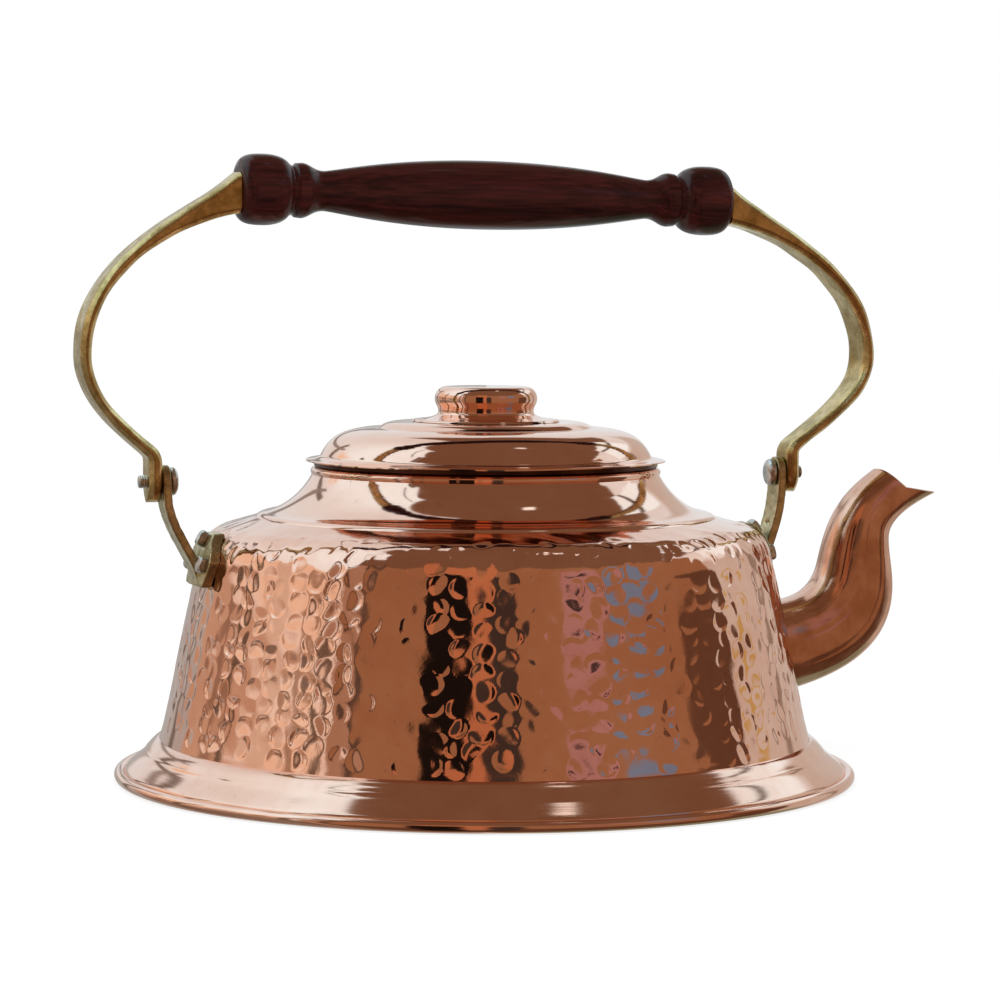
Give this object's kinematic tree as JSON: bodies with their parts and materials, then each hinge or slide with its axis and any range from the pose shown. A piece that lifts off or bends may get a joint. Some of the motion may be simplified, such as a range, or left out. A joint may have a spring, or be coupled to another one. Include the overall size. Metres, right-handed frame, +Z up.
{
  "type": "stove kettle",
  "caption": "Hammered copper stove kettle with a curved beak spout, lift-off lid and brass swing bail with turned wooden grip.",
  "frame": {"origin": "centre of the flat bottom, where the kettle's axis meets the surface that it stands on", "axes": "+X out along the spout, +Z up the kettle's axis, +Y to the left of the spout; the bail pivots about a line parallel to X"},
  "size_m": [0.2809, 0.23, 0.1922],
  "materials": {
    "hammered_copper": "polished and hammered",
    "spun_copper": "polished, with spinning lines",
    "satin_copper": "satin, browned",
    "plain_copper": "satin",
    "solder": "wiped and dull",
    "cast_brass": "cast, aged",
    "tinned_rivet": "dull silver",
    "wire_steel": "plain",
    "plain_brass": "plain",
    "dark_wood": "glossy varnish"
  },
  "bodies": {
    "kettle": {"body_shell": "hammered_copper", "neck_rim_wire": "wire_steel", "bottom_plate": "plain_copper", "spout": "satin_copper", "spout_solder": "solder", "rear_lug": "cast_brass", "front_lug": "cast_brass", "rear_lug_rivets": "tinned_rivet", "front_lug_rivets": "tinned_rivet", "rear_lug_roves": "plain_copper", "front_lug_roves": "plain_copper"},
    "bail": {"rear_arm": "cast_brass", "front_arm": "cast_brass", "grip": "dark_wood", "rear_pivot_screw": "tinned_rivet", "front_pivot_screw": "tinned_rivet"},
    "lid": {"lid_cover": "spun_copper", "lid_collar": "plain_copper", "lid_knob": "spun_copper", "knob_stud": "plain_brass", "knob_washer": "plain_brass", "knob_nut": "plain_brass"}
  },
  "joints": [
    {"name": "bail_swing", "type": "hinge", "parent": "kettle", "child": "bail", "pos_m": [0, 0, 0.0934], "axis": [1, 0, 0], "range_deg": [-93, 93]},
    {"name": "lid_lift", "type": "slide", "parent": "kettle", "child": "lid", "axis": [0, 0, 1], "range_m": [0, 0.045]}
  ]
}
